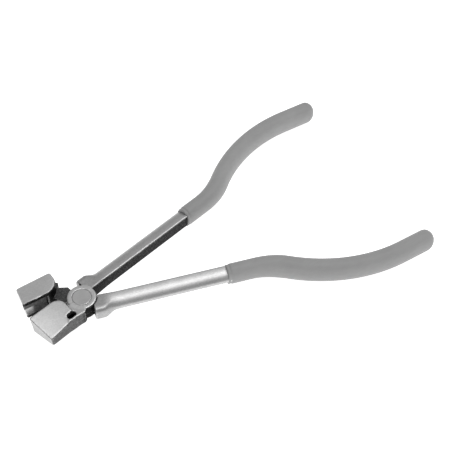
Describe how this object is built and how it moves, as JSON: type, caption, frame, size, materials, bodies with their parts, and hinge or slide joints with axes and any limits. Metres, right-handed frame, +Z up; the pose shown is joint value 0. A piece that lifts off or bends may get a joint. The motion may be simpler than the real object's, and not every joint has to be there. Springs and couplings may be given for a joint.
{
  "type": "running pliers",
  "caption": "Running pliers for stained glass: two crossed half-lap members, wide tapered jaws and bowed dipped grips, standing open.",
  "frame": {"origin": "on the pivot axis, in the flat underside of the joint", "axes": "+X along the handles away from the jaws, +Y towards the far handle, +Z up the pivot rivet"},
  "size_m": [0.1951, 0.1154, 0.0126],
  "materials": {
    "forged_steel": "satin, ground cheeks, dark lap faces",
    "rivet_steel": "satin, turned",
    "grip_vinyl": "smooth matte dipped vinyl"
  },
  "bodies": {
    "crowned_member": {"crowned_jaw_member": "forged_steel", "pivot_rivet": "rivet_steel", "far_grip": "grip_vinyl"},
    "channel_member": {"channel_jaw_member": "forged_steel", "near_grip": "grip_vinyl"}
  },
  "joints": [
    {"name": "pivot", "type": "hinge", "parent": "crowned_member", "child": "channel_member", "pos_m": [0, 0, 0.0042], "axis": [0, 0, 1], "range_deg": [-16, 16]}
  ]
}
